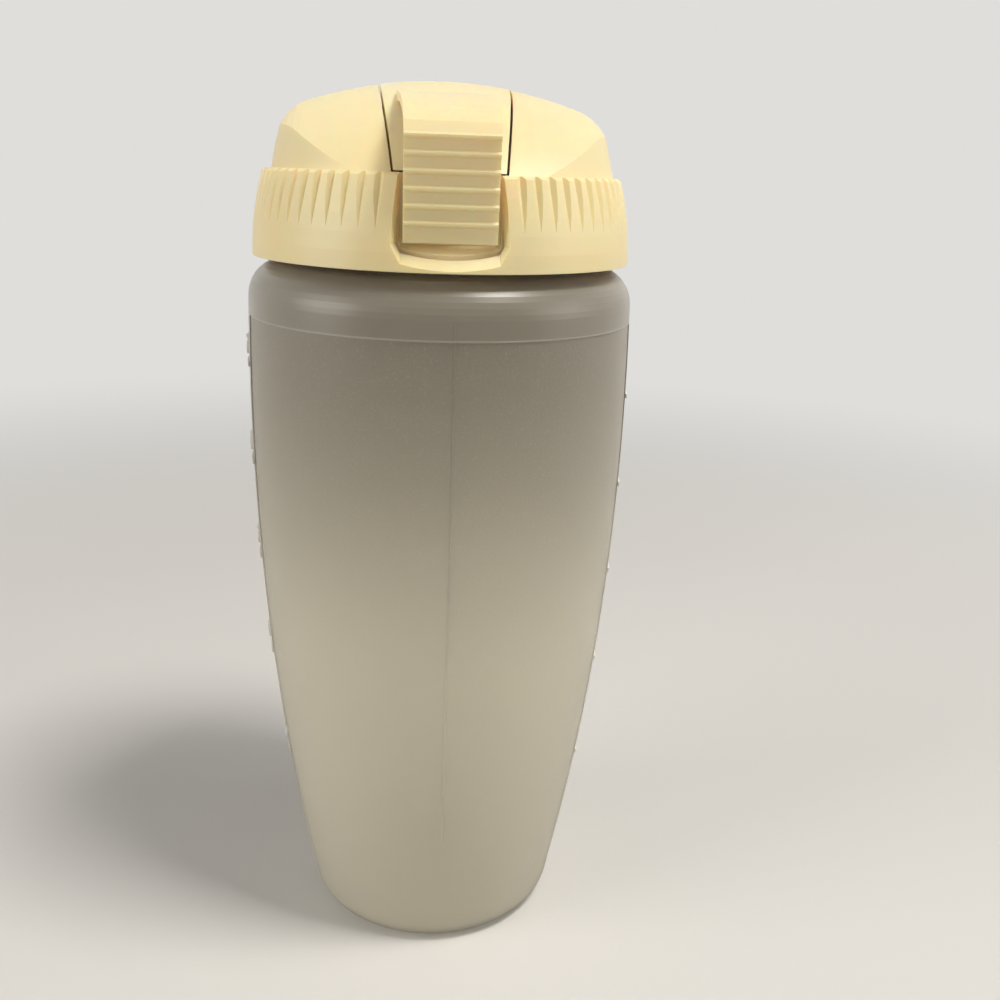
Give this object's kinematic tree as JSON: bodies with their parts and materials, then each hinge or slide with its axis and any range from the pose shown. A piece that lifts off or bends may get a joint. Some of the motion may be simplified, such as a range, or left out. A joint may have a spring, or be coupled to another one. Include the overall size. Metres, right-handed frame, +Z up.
{
  "type": "salad dressing shaker bottle",
  "caption": "Frosted shaker bottle with a domed screw cap, a pour spout and a flip lid opened by a ribbed thumb lever.",
  "frame": {"origin": "middle of the base, on the surface that the bottle stands on", "axes": "+Z up along the bottle, the thumb lever faces -Y, the lid's hinge is at +Y"},
  "size_m": [0.0879, 0.0866, 0.2004],
  "materials": {
    "frosted_bottle": "frosted translucent polypropylene",
    "ivory_cap": "satin ivory polypropylene",
    "ivory_lid": "satin ivory polypropylene",
    "seal_rubber": "soft white silicone"
  },
  "bodies": {
    "vessel": {"bottle": "frosted_bottle"},
    "seal_ring": {"cap_gasket": "seal_rubber"},
    "cap": {"screw_cap": "ivory_cap"},
    "lid": {"flip_lid": "ivory_lid", "spout_seal": "seal_rubber"}
  },
  "joints": [
    {"name": "cap_lift", "type": "slide", "parent": "vessel", "child": "seal_ring", "axis": [0, 0, 1], "range_m": [0, 0.01]},
    {"name": "cap_turn", "type": "hinge", "parent": "seal_ring", "child": "cap", "pos_m": [0, 0, 0.171], "axis": [0, 0, 1], "range_deg": [0, 720]},
    {"name": "lid_flip", "type": "hinge", "parent": "cap", "child": "lid", "pos_m": [0, 0.03051, 0.1878], "axis": [-1, 0, 0], "range_deg": [0, 115]}
  ],
  "couplings": [
    {"joint": "cap_lift", "follows": "cap_turn", "m_per_rad": 0.00079577}
  ]
}
